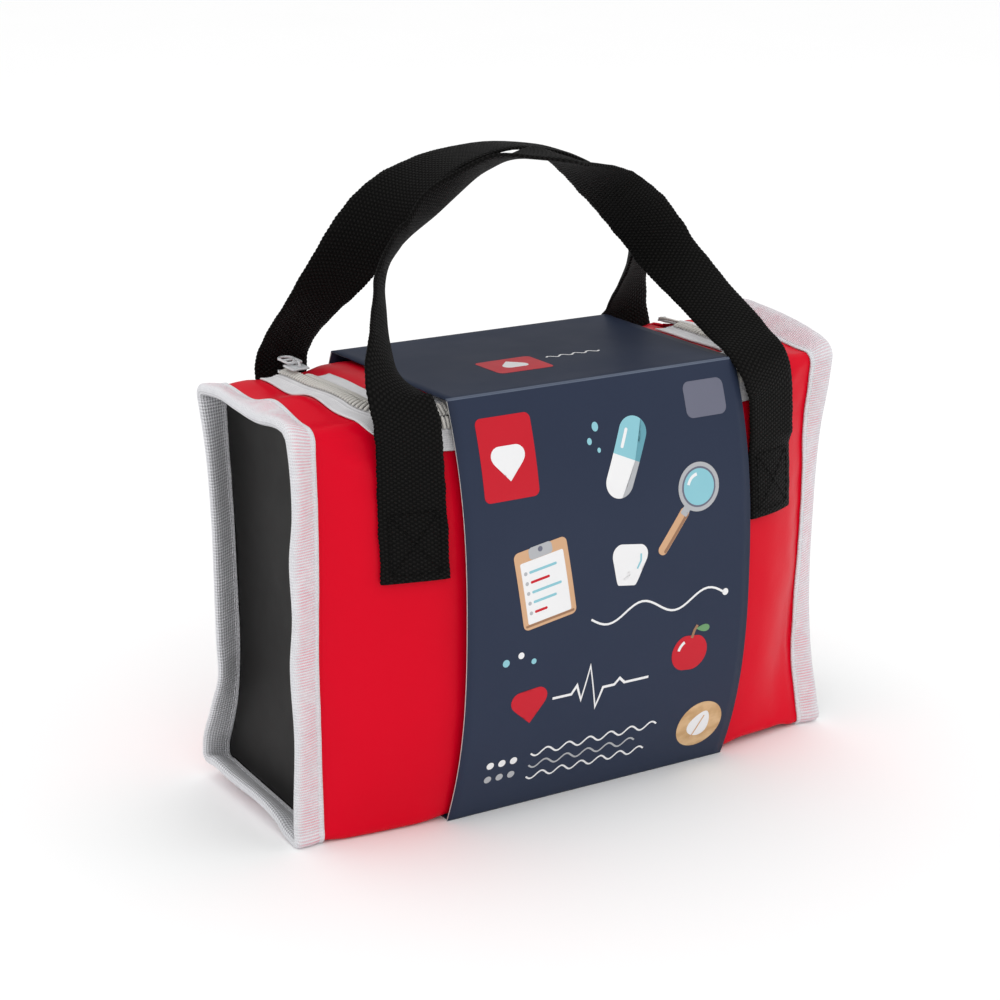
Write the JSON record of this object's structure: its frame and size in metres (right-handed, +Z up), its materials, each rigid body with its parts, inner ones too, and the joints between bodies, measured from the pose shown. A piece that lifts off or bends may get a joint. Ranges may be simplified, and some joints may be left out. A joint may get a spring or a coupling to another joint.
{
  "type": "toy doctor case",
  "caption": "Soft vinyl toy doctor case with zipped lid, webbing handles and a card sleeve; wooden play instruments inside.",
  "frame": {"origin": "on the floor, at the middle of the bounding box's bottom", "axes": "+X to the right along the case, front towards -Y, +Z up"},
  "size_m": [0.261, 0.1246, 0.2601],
  "materials": {
    "red_vinyl": "satin coated vinyl with soft creases",
    "black_panel": "matt black coated cloth",
    "binding": "pale grey woven tape",
    "board": "grey-brown board",
    "zip_tape": "woven off-white tape",
    "zip_coil": "moulded cream plastic",
    "zip_metal": "pressed stop",
    "webbing": "black ribbed webbing",
    "thread": "black thread",
    "card": "navy printed card, satin varnish",
    "bare_wood": "sanded clear-lacquered beech",
    "white_wood": "white lacquer",
    "plaster": "woven cloth",
    "blue_wood": "pale blue lacquer",
    "red_wood": "red lacquer",
    "otoscope_metal": "satin grey metal look",
    "black_cup": "black gloss plastic"
  },
  "bodies": {
    "case": {"vinyl_wrap": "red_vinyl", "left_end_panel": "black_panel", "right_end_panel": "black_panel", "left_binding": "binding", "right_binding": "binding", "base_board": "board", "zip_tape_case": "zip_tape", "zip_teeth_case": "zip_coil", "zip_end_stops": "zip_metal", "front_handle_tabs": "webbing", "rear_handle_tabs": "webbing", "handle_stitches": "thread", "sleeve_wrap": "card", "tongue_depressor": "bare_wood", "thermometer": "white_wood", "sticking_plaster": "plaster", "bottle_body": "blue_wood", "bottle_cap": "white_wood", "hammer_handle": "bare_wood", "hammer_head": "red_wood", "otoscope_handle": "otoscope_metal", "otoscope_cup": "black_cup", "syringe_barrel": "white_wood", "stethoscope_arms": "bare_wood", "stethoscope_joint": "red_wood", "stethoscope_ear_tips": "red_wood", "stethoscope_chest_piece": "red_wood"},
    "lid": {"lid_panel": "red_vinyl", "zip_tape_lid": "zip_tape", "zip_teeth_lid": "zip_coil"},
    "sleeve_top": {"sleeve_top": "card"},
    "slider": {"zip_slider": "zip_coil"},
    "pull": {"zip_pull": "zip_coil"},
    "front_handle": {"front_handle": "webbing"},
    "rear_handle": {"rear_handle": "webbing"},
    "plunger": {"syringe_plunger": "bare_wood", "syringe_thumb_disc": "red_wood"}
  },
  "joints": [
    {"name": "lid_hinge", "type": "hinge", "parent": "case", "child": "lid", "pos_m": [0, 0.03435, 0.1733], "axis": [-1, 0, 0], "range_deg": [0, 85]},
    {"name": "sleeve_top_hinge", "type": "hinge", "parent": "case", "child": "sleeve_top", "pos_m": [0, 0.0467, 0.1756], "axis": [-1, 0, 0], "range_deg": [0, 85]},
    {"name": "front_handle_swing", "type": "hinge", "parent": "case", "child": "front_handle", "pos_m": [0, -0.05648, 0.138], "axis": [1, 0, 0], "range_deg": [0, 170]},
    {"name": "rear_handle_swing", "type": "hinge", "parent": "case", "child": "rear_handle", "pos_m": [0, 0.05642, 0.138], "axis": [-1, 0, 0], "range_deg": [0, 170]},
    {"name": "slider_travel", "type": "slide", "parent": "case", "child": "slider", "axis": [0, -1, 0], "range_m": [0, 0.038]},
    {"name": "pull_swing", "type": "hinge", "parent": "slider", "child": "pull", "pos_m": [-0.092, 0.0289, 0.17743], "axis": [1, 0, 0], "range_deg": [0, 100]},
    {"name": "plunger_slide", "type": "slide", "parent": "case", "child": "plunger", "axis": [1, 0, 0], "range_m": [0, 0.024]}
  ],
  "couplings": [
    {"joint": "sleeve_top_hinge", "follows": "lid_hinge", "ratio": 1},
    {"joint": "front_handle_swing", "follows": "lid_hinge", "ratio": 2},
    {"joint": "rear_handle_swing", "follows": "lid_hinge", "ratio": 2}
  ]
}
